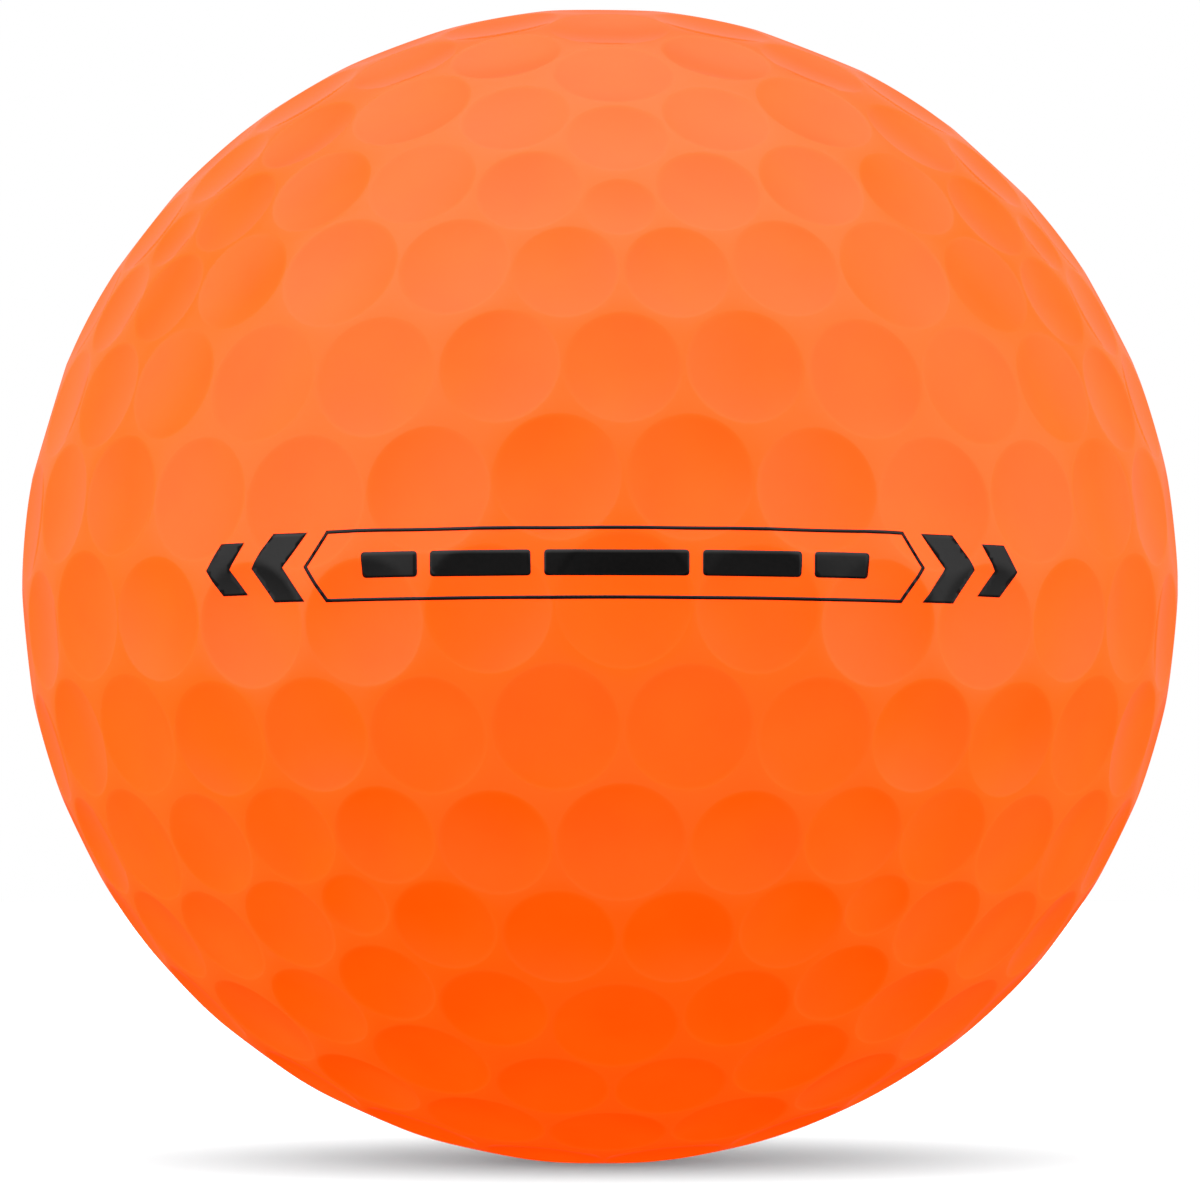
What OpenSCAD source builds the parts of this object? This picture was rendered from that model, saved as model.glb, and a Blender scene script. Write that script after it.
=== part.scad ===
// Two-piece golf ball with a dimpled cover and a printed alignment stamp.
// The origin is the centre of the ball. +Z is the axis of the dimple layout, the parting
// plane of the cover is Z = 0, and the stamp is printed on the side that faces -Y.
// Angles are a latitude above the parting plane and a longitude to the right of the stamp.

/* [Ball] */
// Outside diameter over the land between the dimples
ball_d = 42.67; // [42.67:0.01:43.2]
// Thickness of the moulded cover, measured on the land
cover_thickness = 1.6; // [1:0.05:2.4]

/* [Dimples] */
// Angle between the ball and the dimple's wall at the rim of each dimple, in degrees
edge_angle = 14; // [11:0.25:17]

/* [Stamp] */
// Height of the middle of the stamp above the parting plane
stamp_z = -0.48; // [-2:0.01:2]
// Longitude of the middle of the stamp, in degrees
stamp_lon = -0.65; // [-5:0.05:5]
// Height of the outline, over the middle of its lines
outline_height = 2.3; // [1.8:0.05:3]
// Arc length of the outline between its two points
outline_length = 21.6; // [18:0.1:24]
// How far each pointed end runs out past the corners
outline_point = 0.75; // [0.4:0.05:1.2]
// Width of the printed outline
line_width = 0.12; // [0.08:0.01:0.3]
// Height of the bars in the middle of the outline
bar_height = 0.86; // [0.5:0.02:1.4]
// Gap between two bars
bar_gap = 0.45; // [0.2:0.05:0.8]
// Thickness of the printed ink
ink_thickness = 0.04; // [0.03:0.01:0.06]

/* [Hidden] */

ball_r = ball_d / 2;
core_r = ball_r - cover_thickness;
over = 1; // how far a cutting shape runs past the surface that it cuts
round_fn = 180;
dimple_fn = 120;

// Lengths of the bars from the middle one outwards
bar_lengths = [4.8, 3.4, 2.0];
// Chevrons: arc from the stamp's middle to the tip, arm width, height, and how far the tip leads
inner_chevron = [13.0, 1.3, 2.33, 0.85];
outer_chevron = [14.95, 1.02, 1.77, 0.65];

// The dimple layout is a six-sided cap on each pole and three rows between the cap and the
// parting plane. One family is [latitude, longitude, diameter]. It stands at that longitude
// and at its mirror image in each of six equal sectors.
sectors = 6;
sector = 360 / sectors;
half_sector = sector / 2;
families = [
    // cap: pole, then rings of 6, 12, 18, 24 and 30 dimples
    [90, 0, 4.3],
    [78.2, 0, 4.25],
    [66, 0, 4.3], [69, 30, 4.25],
    [53.9, 0, 4.3], [58.3, 19.4, 4],
    [42.8, 0, 3.6], [46.1, 13.6, 3.85], [48.5, 30, 4.4],
    [33.6, 0, 2.55], [35.8, 10.2, 3.7], [37.2, 23.2, 3.9],
    // three rows of 30 dimples beside the parting plane
    [27.1, 30, 4.4], [27.1, 17.2, 3.9], [26.3, 5.6, 3.65],
    [16.1, 23.8, 4.35], [16.8, 11.6, 4.1], [16.6, 0, 4],
    [4.6, 30, 4.6], [5.4, 17.8, 4.3], [6.4, 6, 4.3]
];

// A family on the edge or the middle of its sector is its own mirror image
function mirror_signs(lon) = lon == 0 || lon == half_sector ? [1] : [-1, 1];

function family_dimples(family) =
    family[0] == 90
    ? [family]
    : [for (k = [0 : sectors - 1])
       for (side = mirror_signs(family[1]))
       [family[0], k * sector + side * family[1], family[2]]];

upper_dimples = [for (family = families) each family_dimples(family)];

// The lower half is the upper one turned over and stepped round by half a sector
lower_dimples = [for (d = upper_dimples) [-d[0], d[1] + half_sector, d[2]]];

all_dimples = concat(upper_dimples, lower_dimples);

// Dimples of the other half that reach across the parting plane
row_reach = 7; // degrees
cuts_upper = concat(upper_dimples, [for (d = lower_dimples) if (d[0] > -row_reach) d]);
cuts_lower = concat(lower_dimples, [for (d = upper_dimples) if (d[0] < row_reach) d]);

// Dimples that the stamp can reach
function wrapped(lon) = lon > 180 ? lon - 360 : lon;
stamp_reach = [13, 50]; // degrees of latitude and of longitude
stamp_dimples = [for (d = all_dimples)
                 if (abs(d[0]) < stamp_reach[0] && abs(wrapped(d[1])) < stamp_reach[1]) d];

// Depth of a dimple below the flat disc across its rim, from the angle at its edge
function dimple_depth(r) = r * tan((edge_angle - asin(r / ball_r)) / 2);

// Turns a shape that stands on -Y to a latitude and a longitude
module face_to(lat, lon) {
    rotate([0, 0, lon])
        rotate([-lat, 0, 0])
            children();
}

// The cap of a sphere that one dimple removes. skin moves its floor outwards, along the
// direction square to the surface, by the thickness of a printed layer.
module dimple_cut(dimple, skin = 0) {
    r = dimple[2] / 2;
    depth = dimple_depth(r);
    floor_r = (r * r + depth * depth) / (2 * depth);
    rim_y = sqrt(ball_r * ball_r - r * r);
    rim_margin = 0.03;
    face_to(dimple[0], dimple[1])
        intersection() {
            translate([0, depth - rim_y - floor_r, 0])
                sphere(r = floor_r - skin, $fn = dimple_fn);
            translate([0, -rim_y + depth + over, 0])
                rotate([90, 0, 0])
                    cylinder(r = r + rim_margin, h = depth + 2 * over, $fn = dimple_fn);
        }
}

module dimpled_sphere(dimples, skin = 0) {
    difference() {
        sphere(r = ball_r + skin, $fn = round_fn);
        for (d = dimples) dimple_cut(d, skin);
    }
}

// One moulded cup of the cover, side = 1 above the parting plane and -1 below it
module cover_half(dimples, side) {
    box = 2 * (ball_r + over);
    difference() {
        intersection() {
            sphere(r = ball_r, $fn = round_fn);
            translate([0, 0, side * box / 2]) cube(box, center = true);
        }
        sphere(r = core_r, $fn = round_fn);
        for (d = dimples) dimple_cut(d);
    }
}

// The layer of ink under a printing shape that runs out from the middle of the ball.
// It follows the land and the floor of each dimple.
module ink() {
    color([0.06, 0.055, 0.055])
        difference() {
            intersection() {
                dimpled_sphere(stamp_dimples, ink_thickness);
                children();
            }
            dimpled_sphere(stamp_dimples);
        }
}

// Degrees of longitude for an arc length on the parting plane
function arc_deg(length) = length / ball_r * 180 / PI;

print_inner_r = ball_r - over;
print_outer_r = ball_r + over;

// Prints a flat shape, drawn with X along the stamp and Y up, at an arc from its middle
module print_at(arc) {
    rotate([0, 0, stamp_lon + arc_deg(arc)])
        translate([0, -print_inner_r, stamp_z])
            rotate([90, 0, 0])
                linear_extrude(print_outer_r - print_inner_r)
                    children();
}

// Prints a band that runs round the ball from one arc to another, between two heights
module print_band(from_arc, to_arc, low, high) {
    rotate([0, 0, stamp_lon + arc_deg(from_arc) - 90])
        rotate_extrude(angle = arc_deg(to_arc - from_arc), $fn = round_fn)
            translate([print_inner_r, stamp_z + low])
                square([print_outer_r - print_inner_r, high - low]);
}

// The V of one pointed end of the outline, with its tip at X = 0 and its arms behind it
module outline_end_2d() {
    half = outline_height / 2;
    slant = sqrt(half * half + outline_point * outline_point);
    across = line_width / 2 * slant / half; // half the line's width, measured along X
    rise = line_width / 2; // half the line's width, measured along Y
    back = outline_point * rise / half;
    polygon([
        [across, 0],
        [-outline_point - back + across, half + rise],
        [-outline_point + back - across, half - rise],
        [-across, 0],
        [-outline_point + back - across, -half + rise],
        [-outline_point - back + across, -half - rise]
    ]);
}

// A solid chevron with its tip at X = 0
module chevron_2d(size) {
    width = size[1];
    half = size[2] / 2;
    lead = size[3];
    polygon([
        [0, 0],
        [-lead, half],
        [-lead - width, half],
        [-width, 0],
        [-lead - width, -half],
        [-lead, -half]
    ]);
}

module chevron_pair(size) {
    for (side = [-1, 1])
        print_at(side * size[0]) mirror([side < 0 ? 1 : 0, 0]) chevron_2d(size);
}

module core() {
    color([0.42, 0.5, 0.52])
        sphere(r = core_r, $fn = round_fn);
}

module cover_upper_half() {
    color([1, 0.36, 0.08]) cover_half(cuts_upper, 1);
}

module cover_lower_half() {
    color([1, 0.36, 0.08]) cover_half(cuts_lower, -1);
}

module stamp_outline() {
    tip = outline_length / 2;
    corner = tip - outline_point;
    half = outline_height / 2;
    ink()
        union() {
            for (side = [-1, 1]) {
                print_at(side * tip) mirror([side < 0 ? 1 : 0, 0]) outline_end_2d();
                print_band(-corner, corner, side * half - line_width / 2,
                           side * half + line_width / 2);
            }
        }
}

// Where the bar at a place in bar_lengths begins, measured from the middle of the stamp
function bar_start(i) =
    i == 0 ? -bar_lengths[0] / 2 : bar_lengths[0] / 2 + bar_gap
    + (i == 1 ? 0 : bar_lengths[1] + bar_gap);

module stamp_bars() {
    half = bar_height / 2;
    ink()
        for (i = [0 : len(bar_lengths) - 1])
            for (side = i == 0 ? [1] : [-1, 1]) {
                from = bar_start(i);
                to = from + bar_lengths[i];
                print_band(side > 0 ? from : -to, side > 0 ? to : -from, -half, half);
            }
}

module stamp_inner_chevrons() {
    ink() chevron_pair(inner_chevron);
}

module stamp_outer_chevrons() {
    ink() chevron_pair(outer_chevron);
}

core();
cover_upper_half();
cover_lower_half();
stamp_outline();
stamp_bars();
stamp_inner_chevrons();
stamp_outer_chevrons();
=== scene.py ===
import math

import bpy
import numpy as np
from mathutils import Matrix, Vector
from mathutils.geometry import delaunay_2d_cdt


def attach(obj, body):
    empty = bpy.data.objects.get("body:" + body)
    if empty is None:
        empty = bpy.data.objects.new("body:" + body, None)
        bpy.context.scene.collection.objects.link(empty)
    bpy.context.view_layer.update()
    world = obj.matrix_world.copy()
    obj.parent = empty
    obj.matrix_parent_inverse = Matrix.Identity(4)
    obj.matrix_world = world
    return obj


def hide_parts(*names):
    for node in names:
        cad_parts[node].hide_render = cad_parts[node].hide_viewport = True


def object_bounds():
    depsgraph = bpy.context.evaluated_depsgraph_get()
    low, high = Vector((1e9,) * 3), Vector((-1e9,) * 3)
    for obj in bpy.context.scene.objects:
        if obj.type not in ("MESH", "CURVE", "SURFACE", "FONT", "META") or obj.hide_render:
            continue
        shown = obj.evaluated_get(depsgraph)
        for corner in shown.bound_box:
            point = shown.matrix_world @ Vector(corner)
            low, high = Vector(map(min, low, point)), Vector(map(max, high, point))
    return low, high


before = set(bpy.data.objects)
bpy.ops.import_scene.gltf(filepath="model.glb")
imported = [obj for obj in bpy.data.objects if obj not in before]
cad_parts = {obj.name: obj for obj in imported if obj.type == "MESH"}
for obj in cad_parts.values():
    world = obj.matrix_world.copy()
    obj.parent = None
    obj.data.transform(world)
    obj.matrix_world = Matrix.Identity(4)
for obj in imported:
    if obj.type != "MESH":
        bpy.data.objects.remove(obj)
cad_low, cad_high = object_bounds()

MM = 0.001
BODY = "root"

# ---------------------------------------------------------------- the ball's driving sizes

# The land between the dimples is the only part of the cover that reaches the full radius.
BALL_R = max(v.co.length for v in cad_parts["cover_upper_half"].data.vertices)
EDGE_ANGLE = math.radians(14)  # between the ball and the dimple's wall at the rim
EDGE_ROUNDING = 0.014 * MM  # how much the moulded rim is softened

SECTORS = 6
SECTOR = 360 / SECTORS
HALF_SECTOR = SECTOR / 2

# One family of dimples is (latitude, longitude, diameter in mm). It stands at that longitude
# and at its mirror image in each of six equal sectors of the upper half.
FAMILIES = (
    # cap: pole, then rings of 6, 12, 18, 24 and 30 dimples
    (90, 0, 4.3),
    (78.2, 0, 4.25),
    (66, 0, 4.3), (69, 30, 4.25),
    (53.9, 0, 4.3), (58.3, 19.4, 4),
    (42.8, 0, 3.6), (46.1, 13.6, 3.85), (48.5, 30, 4.4),
    (33.6, 0, 2.55), (35.8, 10.2, 3.7), (37.2, 23.2, 3.9),
    # three rows of 30 dimples beside the parting plane
    (27.1, 30, 4.4), (27.1, 17.2, 3.9), (26.3, 5.6, 3.65),
    (16.1, 23.8, 4.35), (16.8, 11.6, 4.1), (16.6, 0, 4),
    (4.6, 30, 4.6), (5.4, 17.8, 4.3), (6.4, 6, 4.3),
)


# ---------------------------------------------------------------- the dimpled surface


def unit(lat, lon):
    """The direction at a latitude and longitude, in degrees; 0, 0 is -Y and 90, 0 is +Z."""
    lat, lon = math.radians(lat), math.radians(lon)
    return (math.cos(lat) * math.sin(lon), -math.cos(lat) * math.cos(lon), math.sin(lat))


class Dimple:
    """A spherical cap pressed into the ball."""

    def __init__(self, lat, lon, diameter):
        self.axis = np.array(unit(lat, lon))
        self.r = diameter * MM / 2
        self.rim = math.asin(self.r / BALL_R)  # the rim's angle from the axis
        depth = self.r * math.tan((EDGE_ANGLE - self.rim) / 2)
        self.floor_r = (self.r**2 + depth**2) / (2 * depth)
        self.centre = math.sqrt(BALL_R**2 - self.r**2) - depth + self.floor_r

    def radius(self, cosine):
        """Distance from the ball's centre to the dimple's floor, at that cosine from the axis."""
        return self.centre * cosine - np.sqrt(self.floor_r**2 - self.centre**2 * (1 - cosine**2))


def dimple_layout():
    upper = []
    for lat, lon, diameter in FAMILIES:
        if lat == 90:
            upper.append((lat, lon, diameter))
            continue
        sides = (1,) if lon in (0, HALF_SECTOR) else (-1, 1)
        for k in range(SECTORS):
            for side in sides:
                upper.append((lat, k * SECTOR + side * lon, diameter))
    # The lower half is the upper one turned over and stepped round by half a sector.
    lower = [(-lat, lon + HALF_SECTOR, diameter) for lat, lon, diameter in upper]
    return [Dimple(*d) for d in upper + lower]


DIMPLES = dimple_layout()


def smooth_minimum(a, b, rounding):
    share = np.clip(0.5 + 0.5 * (a - b) / rounding, 0, 1)
    return a + (b - a) * share - rounding * share * (1 - share)


SOFTENED = math.radians(2)  # how far past its rim a dimple can still soften the land
SLOPE_STEP = 1e-4  # radians between the two places that give a slope
POLAR = 0.9  # above this height on the unit ball, +Z is too close to the direction to be its helper


def surface_radius(directions):
    """Distance from the centre to the moulded surface along each unit direction."""
    radius = np.full(len(directions), BALL_R)
    for dimple in DIMPLES:
        cosine = directions @ dimple.axis
        near = np.nonzero(cosine > math.cos(dimple.rim + SOFTENED))[0]
        floor = dimple.radius(cosine[near])
        radius[near] = smooth_minimum(radius[near], floor, EDGE_ROUNDING)
    return radius


def surface_normals(directions):
    """Unit normals of the moulded surface, from its slope in two directions."""
    polar = np.abs(directions[:, 2:]) >= POLAR
    helper = np.where(polar, [[1.0, 0.0, 0.0]], [[0.0, 0.0, 1.0]])
    east = np.cross(helper, directions)
    east /= np.linalg.norm(east, axis=1)[:, None]
    north = np.cross(directions, east)
    radius = surface_radius(directions)
    normal = directions.copy()
    for tangent in (east, north):
        ahead = directions + SLOPE_STEP * tangent
        ahead /= np.linalg.norm(ahead, axis=1)[:, None]
        slope = (surface_radius(ahead) - radius) / (SLOPE_STEP * radius)
        normal -= slope[:, None] * tangent
    return normal / np.linalg.norm(normal, axis=1)[:, None]


def new_object(name, points, faces, normals=None):
    mesh = bpy.data.meshes.new(name)
    mesh.from_pydata([tuple(p) for p in points], [], faces)
    mesh.shade_smooth()
    if normals is not None:
        mesh.normals_split_custom_set_from_vertices([tuple(n) for n in normals])
    mesh.update()
    piece = bpy.data.objects.new(name, mesh)
    bpy.context.scene.collection.objects.link(piece)
    return piece


# ---------------------------------------------------------------- the cover

RIM_SPACING = 0.34 * MM  # between two points along a rim
FLOOR_RINGS = (0.25, 0.47, 0.66, 0.81)  # as shares of the rim's angle
# Rings beside the rim, in mm past it; the last one lies on the land.
RIM_RINGS = (-0.30, -0.14, -0.055, -0.02, 0.012, 0.034)
COVER_MERGE = 1e-9  # points of the land's flat net closer than this are one point


def dimple_patch(dimple, first):
    """Directions and faces of one dimple: rings of points from its middle to just past its rim."""
    count = 2 * round(math.pi * dimple.r / RIM_SPACING)
    east = np.cross((0.0, 0.0, 1.0), dimple.axis)
    if np.linalg.norm(east) < 1e-6:
        east = np.array((1.0, 0.0, 0.0))
    east /= np.linalg.norm(east)
    north = np.cross(dimple.axis, east)
    turns = np.arange(count) * 2 * math.pi / count
    around = np.outer(np.cos(turns), east) + np.outer(np.sin(turns), north)
    angles = [share * dimple.rim for share in FLOOR_RINGS]
    angles += [dimple.rim + offset * MM / BALL_R for offset in RIM_RINGS]
    points = [dimple.axis[None, :]]
    points += [math.cos(a) * dimple.axis + math.sin(a) * around for a in angles]
    faces = []
    for i in range(count):
        j = (i + 1) % count
        faces.append((first, first + 1 + i, first + 1 + j))
        for ring in range(len(angles) - 1):
            inner = first + 1 + ring * count
            outer = inner + count
            faces.append((inner + i, outer + i, outer + j, inner + j))
    loop = [first + 1 + (len(angles) - 1) * count + i for i in range(count)]
    return np.vstack(points), faces, loop


def land_faces(directions, loops):
    """Triangles between the dimples: a flat Delaunay net of the rims, seen from the south pole.

    That view keeps circles as circles, so the net is a Delaunay net on the ball too. The
    dimple at the south pole becomes the net's outer edge. A triangle with all its corners on
    one rim lies in that dimple, so it is left out.
    """
    loop_points = [i for loop in loops for i in loop]
    owner = np.concatenate([np.full(len(loop), k) for k, loop in enumerate(loops)])
    flat = directions[loop_points]
    flat = flat[:, :2] / (1 + flat[:, 2:])
    place = {point: k for k, point in enumerate(loop_points)}
    edges = [(place[a], place[b]) for loop in loops for a, b in zip(loop, loop[1:] + loop[:1])]
    _, _, triangles, origins, _, _ = delaunay_2d_cdt(
        [Vector(p) for p in flat], edges, [], 0, COVER_MERGE)
    corners = np.array([[origins[v][0] for v in t] for t in triangles])
    on_land = np.ptp(owner[corners], axis=1) > 0
    kept = np.array(loop_points)[corners[on_land]]
    a, b, c = (directions[kept[:, k]] for k in range(3))
    inward = np.einsum("ij,ij->i", np.cross(b - a, c - a), a) < 0
    kept[inward] = kept[inward][:, ::-1]
    return [tuple(int(v) for v in t) for t in kept]


def make_cover():
    points, faces, loops = [], [], []
    total = 0
    for dimple in DIMPLES:
        patch, patch_faces, loop = dimple_patch(dimple, total)
        points.append(patch)
        faces += patch_faces
        loops.append(loop)
        total += len(patch)
    directions = np.vstack(points)
    faces += land_faces(directions, loops)
    surface = directions * surface_radius(directions)[:, None]
    return new_object("cover", surface, faces, surface_normals(directions))


# ---------------------------------------------------------------- the printed stamp

STAMP_LON = -0.65  # degrees, the middle of the stamp
STAMP_Z = -0.48  # mm above the parting plane
INK_RISE = 0.015 * MM  # the ink's top above the moulded surface
INK_SINK = 0.006 * MM  # the ink's underside below it, so that no gap shows
INK_STEP = 0.16  # mm between two points of an ink edge
INK_MERGE = 1e-7  # points of an ink net closer than this, in mm, are one point

# The rest of the stamp's sizes are in mm, laid flat.
OUTLINE_HEIGHT = 2.3
OUTLINE_LENGTH = 21.6
OUTLINE_POINT = 0.75  # how far each pointed end runs out past the corners
LINE_WIDTH = 0.12
BAR_HEIGHT = 0.86
BAR_GAP = 0.45
BAR_LENGTHS = (4.8, 3.4, 2.0)  # from the middle one outwards
BAR_CORNER = 0.12
# (arc from the middle to the tip, arm width, height, how far the tip leads)
INNER_CHEVRON = (13.0, 1.3, 2.33, 0.85)
OUTER_CHEVRON = (14.95, 1.02, 1.77, 0.65)


def on_ball(flat_points):
    """Unit directions of stamp points, given as mm along the stamp and mm up."""
    ball_r = BALL_R / MM
    lon = math.radians(STAMP_LON) + flat_points[:, 0] / ball_r
    z = (STAMP_Z + flat_points[:, 1]) / ball_r
    level = np.sqrt(1 - z**2)
    return np.column_stack((level * np.sin(lon), -level * np.cos(lon), z))


def inside(loops, points):
    """Which points lie inside the loops, where a loop within a loop is a hole."""
    odd = np.zeros(len(points), bool)
    for loop in loops:
        for (x1, y1), (x2, y2) in zip(loop, loop[1:] + loop[:1]):
            if y1 == y2:
                continue
            crosses = (points[:, 1] < y1) != (points[:, 1] < y2)
            odd ^= crosses & (points[:, 0] < x1 + (x2 - x1) * (points[:, 1] - y1) / (y2 - y1))
    return odd


def stepped(loop, step):
    """The loop with points added, so that none is more than a step from the next."""
    out = []
    for (x1, y1), (x2, y2) in zip(loop, loop[1:] + loop[:1]):
        count = max(1, math.ceil(math.hypot(x2 - x1, y2 - y1) / step))
        out += [(x1 + (x2 - x1) * k / count, y1 + (y2 - y1) * k / count) for k in range(count)]
    return out


def ink_patch(loops):
    """Points, in mm on the flat stamp, and triangles that fill the loops."""
    fine = [stepped(loop, INK_STEP) for loop in loops]
    flat = [p for loop in fine for p in loop]
    edges, first = [], 0
    for loop in fine:
        edges += [(first + k, first + (k + 1) % len(loop)) for k in range(len(loop))]
        first += len(loop)
    low, high = np.min(flat, axis=0), np.max(flat, axis=0)
    xs = np.arange(low[0] + INK_STEP / 2, high[0], INK_STEP)
    ys = np.arange(low[1] + INK_STEP / 2, high[1], INK_STEP)
    grid = np.array([(x, y) for x in xs for y in ys])
    clear = inside(loops, grid)
    border = np.array(flat)
    for k in np.nonzero(clear)[0]:
        clear[k] = np.min(np.hypot(*(border - grid[k]).T)) > INK_STEP / 2
    flat += [tuple(p) for p in grid[clear]]
    points, _, triangles, _, _, _ = delaunay_2d_cdt(
        [Vector(p) for p in flat], edges, [], 0, INK_MERGE)
    points = np.array([tuple(p) for p in points])
    corners = np.array(triangles)
    corners = corners[inside(loops, points[corners].mean(axis=1))]
    return points, corners


def make_print(name, shapes):
    """Printed ink: each shape is a list of loops, and all of them make one piece."""
    points, faces, normals = [], [], []
    first = 0
    for loops in shapes:
        flat, corners = ink_patch(loops)
        directions = on_ball(flat)
        radius = surface_radius(directions)
        count = len(flat)
        points.append(directions * (radius + INK_RISE)[:, None])
        points.append(directions * (radius - INK_SINK)[:, None])
        a, b, c = (directions[corners[:, k]] for k in range(3))
        inward = np.einsum("ij,ij->i", np.cross(b - a, c - a), a) < 0
        corners[inward] = corners[inward][:, ::-1]
        sides = {}
        for t in corners:
            faces.append(tuple(int(first + v) for v in t))
            faces.append(tuple(int(first + count + v) for v in t[::-1]))
            for u, v in zip(t, np.roll(t, -1)):
                if (v, u) in sides:
                    del sides[(v, u)]
                else:
                    sides[(u, v)] = True
        for u, v in sides:
            faces.append(tuple(int(first + k) for k in (v, u, count + u, count + v)))
        first += 2 * count
    return new_object(name, np.vstack(points), faces)


def both_ends(loop):
    """The loop at the right end of the stamp and its mirror image at the left end."""
    return [[loop], [[(-x, y) for x, y in loop]]]


def outline_loop(spread):
    """The six-sided outline, moved outwards by spread."""
    half = OUTLINE_HEIGHT / 2 + spread
    slant = math.hypot(OUTLINE_HEIGHT / 2, OUTLINE_POINT)
    tip = OUTLINE_LENGTH / 2 + spread * slant / (OUTLINE_HEIGHT / 2)
    corner = tip - OUTLINE_POINT * half / (OUTLINE_HEIGHT / 2)
    return [(tip, 0), (corner, half), (-corner, half), (-tip, 0), (-corner, -half), (corner, -half)]


def chevron_loop(size):
    tip, width, height, lead = size
    half = height / 2
    return [(tip, 0), (tip - lead, half), (tip - lead - width, half), (tip - width, 0),
            (tip - lead - width, -half), (tip - lead, -half)]


def bar_loop(start, end):
    """A bar with rounded corners."""
    half = BAR_HEIGHT / 2 - BAR_CORNER
    loop = []
    for x, y, turn in ((end - BAR_CORNER, half, 0), (start + BAR_CORNER, half, 90),
                       (start + BAR_CORNER, -half, 180), (end - BAR_CORNER, -half, 270)):
        for extra in (0, 30, 60, 90):
            angle = math.radians(turn + extra)
            loop.append((x + BAR_CORNER * math.cos(angle), y + BAR_CORNER * math.sin(angle)))
    return loop


def bar_shapes():
    shapes = [[bar_loop(-BAR_LENGTHS[0] / 2, BAR_LENGTHS[0] / 2)]]
    start = BAR_LENGTHS[0] / 2 + BAR_GAP
    for length in BAR_LENGTHS[1:]:
        shapes += both_ends(bar_loop(start, start + length))
        start += length + BAR_GAP
    return shapes


# ---------------------------------------------------------------- materials

NOISE_LOW = 0.3  # nearly all of a noise texture's values lie between these two
NOISE_HIGH = 0.7
HOLLOW_SHADE_DEPTH = 0.05 * MM  # how far below the ridges the dimples' painted shade fades in
CLEAR_COAT = {"Specular_IOR_Level": 0.0, "Coat_Weight": 0.4, "Coat_Roughness": 0.05, "Coat_IOR": 1.5}


def new_material(name, **settings):
    material = bpy.data.materials.new(name)
    material.use_nodes = True
    shader = material.node_tree.nodes["Principled BSDF"]
    for socket, value in settings.items():
        shader.inputs[socket.replace("_", " ")].default_value = value
    return material, shader


def add_node(owner, kind, settings=None, **inputs):
    node = owner.node_tree.nodes.new(kind)
    for key, value in (settings or {}).items():
        setattr(node, key, value)
    for socket, value in inputs.items():
        node.inputs[socket.replace("_", " ")].default_value = value
    return node


def noise(material, size, detail=2.0):
    """Soft noise with features of about that size, in mm, on the object's own coordinates."""
    place = add_node(material, "ShaderNodeTexCoord")
    texture = add_node(material, "ShaderNodeTexNoise", Scale=1 / (size * MM), Detail=detail)
    material.node_tree.links.new(place.outputs["Object"], texture.inputs["Vector"])
    return texture.outputs["Fac"]


def ramp(material, value, low, high):
    """Maps noise to a number or a colour between two ends."""
    links = material.node_tree.links
    if isinstance(low, tuple):
        node = add_node(material, "ShaderNodeValToRGB")
        node.color_ramp.elements[0].position = NOISE_LOW
        node.color_ramp.elements[0].color = (*low, 1)
        node.color_ramp.elements[1].position = NOISE_HIGH
        node.color_ramp.elements[1].color = (*high, 1)
        links.new(value, node.inputs["Fac"])
        return node.outputs["Color"]
    node = add_node(material, "ShaderNodeMapRange",
                    From_Min=NOISE_LOW, From_Max=NOISE_HIGH, To_Min=low, To_Max=high)
    links.new(value, node.inputs["Value"])
    return node.outputs["Result"]


def bump(material, shader, height, depth, socket="Normal"):
    """Surface relief of that depth, in mm, on the base or on the coat."""
    node = add_node(material, "ShaderNodeBump", Strength=1.0, Distance=depth * MM)
    material.node_tree.links.new(height, node.inputs["Height"])
    material.node_tree.links.new(node.outputs["Normal"], shader.inputs[socket])


def cover_material():
    """Bright orange ionomer under a clear coat with a faint orange-peel, and painted shade that
    darkens its dimples.
    """
    material, shader = new_material("orange_ionomer", IOR=1.5, **CLEAR_COAT)
    links = material.node_tree.links
    pigment = ramp(material, noise(material, 3.0, 4.0), (1.0, 0.062, 0.0005), (1.0, 0.07, 0.0012))
    # Painted shade: the dimples are coloured a touch darker than the ridges between them.
    place = add_node(material, "ShaderNodeTexCoord")
    radius = add_node(material, "ShaderNodeVectorMath", {"operation": "LENGTH"})
    links.new(place.outputs["Object"], radius.inputs[0])
    shade_mask = add_node(material, "ShaderNodeMapRange", {"interpolation_type": "SMOOTHSTEP"},
                     From_Min=BALL_R - HOLLOW_SHADE_DEPTH, From_Max=BALL_R)
    links.new(radius.outputs["Value"], shade_mask.inputs["Value"])
    pigment_with_shade = add_node(material, "ShaderNodeMix", {"data_type": "RGBA"})
    links.new(shade_mask.outputs["Result"], pigment_with_shade.inputs["Factor"])
    links.new(pigment, pigment_with_shade.inputs[6])
    # The paler colour at the ridges, against the painted shade in the dimples
    pigment_with_shade.inputs[7].default_value = (1.0, 0.071, 0.0024, 1)  # 6 and 7 are its two colours
    links.new(pigment_with_shade.outputs[2], shader.inputs["Base Color"])
    links.new(ramp(material, noise(material, 0.5), 0.32, 0.42), shader.inputs["Roughness"])
    bump(material, shader, noise(material, 0.35), 0.0012)
    bump(material, shader, noise(material, 0.9), 0.0006, "Coat Normal")
    return material


def ink_material():
    """Black pad-printed ink: a little uneven in density, under the same clear coat."""
    material, shader = new_material("black_ink", IOR=1.5, **CLEAR_COAT)
    links = material.node_tree.links
    density = ramp(material, noise(material, 0.12, 3.0),
                   (0.0006, 0.0005, 0.0005), (0.0016, 0.0013, 0.0013))
    links.new(density, shader.inputs["Base Color"])
    links.new(ramp(material, noise(material, 0.2), 0.35, 0.5), shader.inputs["Roughness"])
    bump(material, shader, noise(material, 0.08), 0.0015)
    return material


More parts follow.
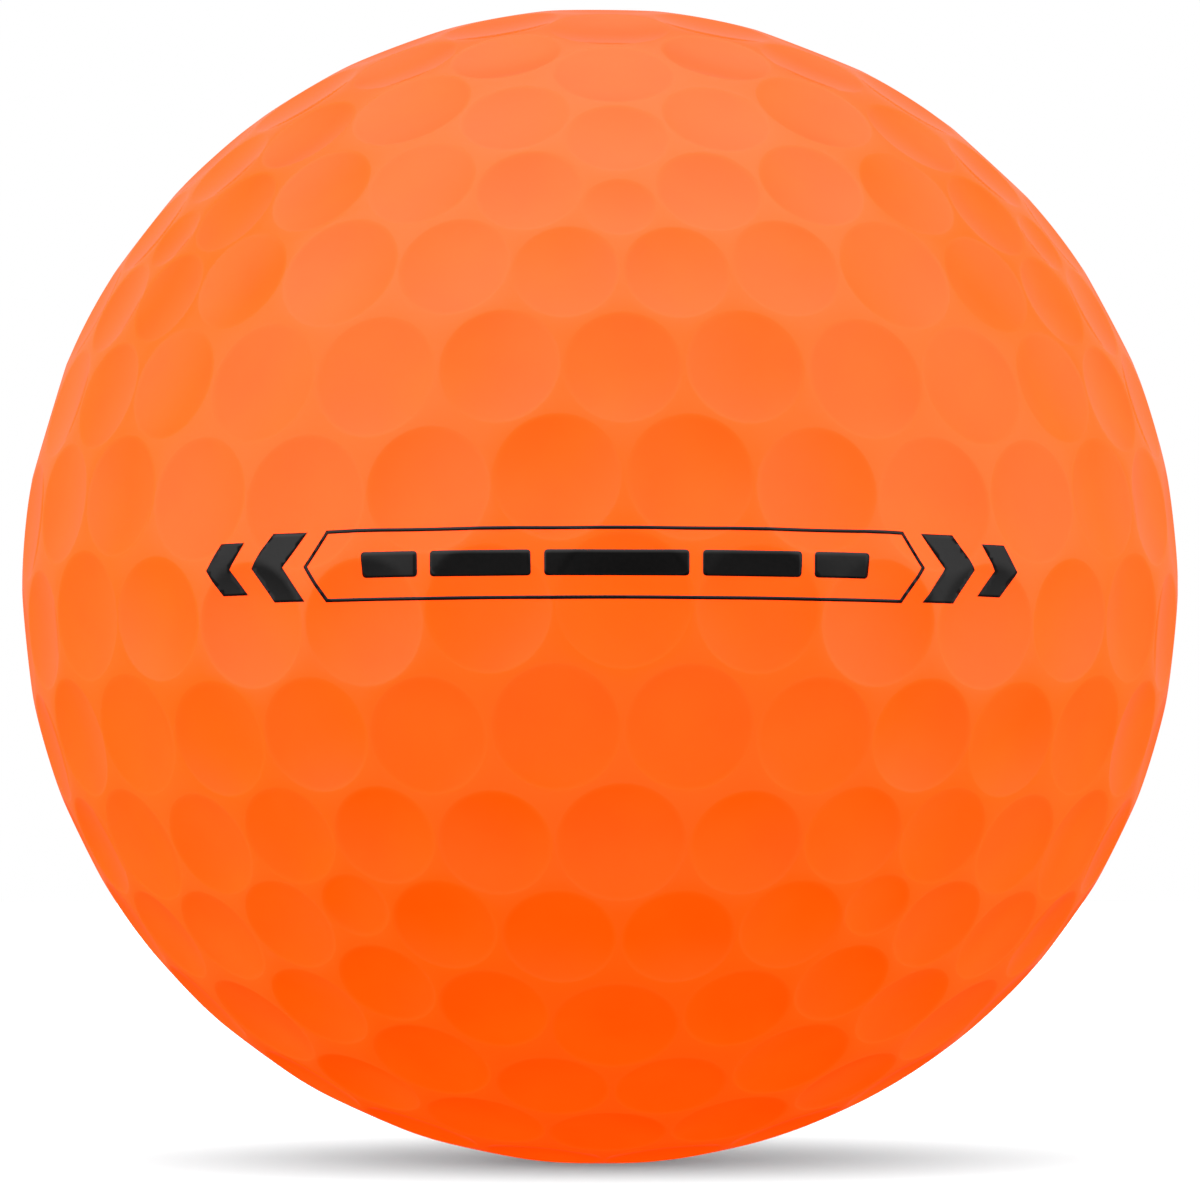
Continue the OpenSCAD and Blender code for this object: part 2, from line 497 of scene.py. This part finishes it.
def core_material():
    """Moulded rubber with the pale flecks of its fillers."""
    material, shader = new_material("core_rubber", IOR=1.52)
    links = material.node_tree.links
    flecks = ramp(material, noise(material, 0.25, 5.0), (0.13, 0.19, 0.21), (0.2, 0.27, 0.29))
    links.new(flecks, shader.inputs["Base Color"])
    links.new(ramp(material, noise(material, 1.0), 0.6, 0.8), shader.inputs["Roughness"])
    bump(material, shader, noise(material, 0.3, 4.0), 0.01)
    return material


def floor_material():
    """A plain matte table top."""
    material, shader = new_material("pale_floor", Roughness=0.9, Specular_IOR_Level=0.1)
    tone = ramp(material, noise(material, 40.0), (0.68, 0.68, 0.68), (0.7, 0.7, 0.7))
    material.node_tree.links.new(tone, shader.inputs["Base Color"])
    return material


def dress(piece, material, replaces=()):
    """Gives a piece its material; a piece that replaces CAD parts is also tied to the ball's body,
    and those parts are hidden.
    """
    piece.data.materials.clear()
    piece.data.materials.append(material)
    if replaces:
        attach(piece, BODY)
        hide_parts(*replaces)


INK = ink_material()
cover = make_cover()
cover.visible_diffuse = False  # keeps its colour off the floor, so the shadow stays a neutral grey
dress(cover, cover_material(), ("cover_upper_half", "cover_lower_half"))
outline = [[outline_loop(LINE_WIDTH / 2), outline_loop(-LINE_WIDTH / 2)]]
dress(make_print("outline_print", outline), INK, ("stamp_outline",))
dress(make_print("bars_print", bar_shapes()), INK, ("stamp_bars",))
dress(make_print("inner_chevrons_print", both_ends(chevron_loop(INNER_CHEVRON))),
      INK, ("stamp_inner_chevrons",))
dress(make_print("outer_chevrons_print", both_ends(chevron_loop(OUTER_CHEVRON))),
      INK, ("stamp_outer_chevrons",))
dress(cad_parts["core"], core_material())

# ---------------------------------------------------------------- camera

CAMERA_LON = -2.15  # degrees round the ball from -Y
CAMERA_LAT = -3.44  # degrees above the parting plane
CAMERA_DISTANCE = 8.71 * BALL_R
AIM_BELOW = 0.0237 * BALL_R  # the camera aims this far below the middle of the ball

camera = bpy.data.objects.new("camera", bpy.data.cameras.new("camera"))
bpy.context.scene.collection.objects.link(camera)
camera.location = Vector(unit(CAMERA_LAT, CAMERA_LON)) * CAMERA_DISTANCE
aim = Vector((0, 0, -AIM_BELOW)) - camera.location
camera.rotation_euler = aim.to_track_quat("-Z", "Y").to_euler()
camera.data.lens = 150
camera.data.sensor_width = 36
camera.data.clip_start = 0.01  # metres
bpy.context.scene.camera = camera

# ---------------------------------------------------------------- floor and light

FLOOR_HALF = 3  # metres from the ball to each side of the floor

corners = ((-1, -1), (1, -1), (1, 1), (-1, 1))
floor = new_object("floor", [(x * FLOOR_HALF, y * FLOOR_HALF, cad_low.z) for x, y in corners],
                   [(0, 1, 2, 3)])
dress(floor, floor_material())

# The floor shows the ball's shadow to the camera; the light it sends back is TABLE_LIGHT.
floor.visible_glossy = False
floor.visible_diffuse = False
floor.visible_shadow = False

# The studio is a set of big soft lamps round the ball, each one given as
# (latitude, longitude, bright half-angle, half-angle where it has faded out, brightness).
# A negative brightness takes light away.
LAMPS = (
    (90, 0, 0, 54, 1.55),  # overhead
    (66, 0, 21, 56, 0.7),  # overhead, a little to the front
    (23, -66, 0, 51, 1.4),  # left
    (18, 73, 0, 47, 1.15),  # right
    (20, 0, 63, 102, 0.48),  # front
    (90, 0, 68, 109, 0.6),  # the room
    (0, 0, 0, 24, -0.27),  # the dark gap the camera looks through
    (-12, -130, 0, 42, 0.12),  # the bright table behind, on the left
    (-12, 130, 0, 42, 0.1),  # and on the right
    (-20, -88, 0, 50, 0.22),  # the table on the left
    (-20, 88, 0, 50, 0.22),  # and on the right
)
# What the bright table sends back, which glossy reflections don't see
TABLE_LIGHT = (
    (-8, -90, 0, 80, 0.1),
    (-8, 90, 0, 80, 0.25),
    (-11, -116, 0, 55, 4.3),
    (-11, 116, 0, 55, 4.1),
    (-6, 0, 0, 58, 1.85),
)


def studio():
    """A world that is plain white to the camera and the lamps to everything else."""
    world = bpy.data.worlds.new("studio")
    world.use_nodes = True
    links = world.node_tree.links
    direction = add_node(world, "ShaderNodeTexCoord").outputs["Generated"]

    def combine(operation, a, b):
        """The sum or product of two values."""
        node = add_node(world, "ShaderNodeMath", {"operation": operation})
        links.new(a, node.inputs[0])
        links.new(b, node.inputs[1])
        return node.outputs["Value"]

    def light(lamps):
        """How bright all these lamps together are in each direction."""
        total = None
        for lat, lon, inner, outer, brightness in lamps:
            aim = add_node(world, "ShaderNodeVectorMath", {"operation": "DOT_PRODUCT"})
            aim.inputs[1].default_value = unit(lat, lon)
            links.new(direction, aim.inputs[0])
            lamp = add_node(world, "ShaderNodeMapRange", {"interpolation_type": "SMOOTHSTEP"},
                            From_Min=math.cos(math.radians(outer)),
                            From_Max=math.cos(math.radians(inner)),
                            To_Min=0.0, To_Max=brightness)
            links.new(aim.outputs["Value"], lamp.inputs["Value"])
            shone = lamp.outputs["Result"]
            total = combine("ADD", total, shone) if total else shone
        return total

    path = add_node(world, "ShaderNodeLightPath")
    dull = add_node(world, "ShaderNodeMapRange", To_Min=1.0, To_Max=0.0)
    links.new(path.outputs["Is Glossy Ray"], dull.inputs["Value"])
    table = combine("MULTIPLY", light(TABLE_LIGHT), dull.outputs["Result"])
    backdrop = add_node(world, "ShaderNodeMix", {"data_type": "FLOAT"}, B=1.0)
    links.new(path.outputs["Is Camera Ray"], backdrop.inputs["Factor"])
    links.new(combine("ADD", light(LAMPS), table), backdrop.inputs["A"])
    background = world.node_tree.nodes["Background"]
    background.inputs["Color"].default_value = (1, 1, 1, 1)
    links.new(backdrop.outputs["Result"], background.inputs["Strength"])
    return world


bpy.context.scene.world = studio()

bpy.context.scene.view_settings.view_transform = "Standard"
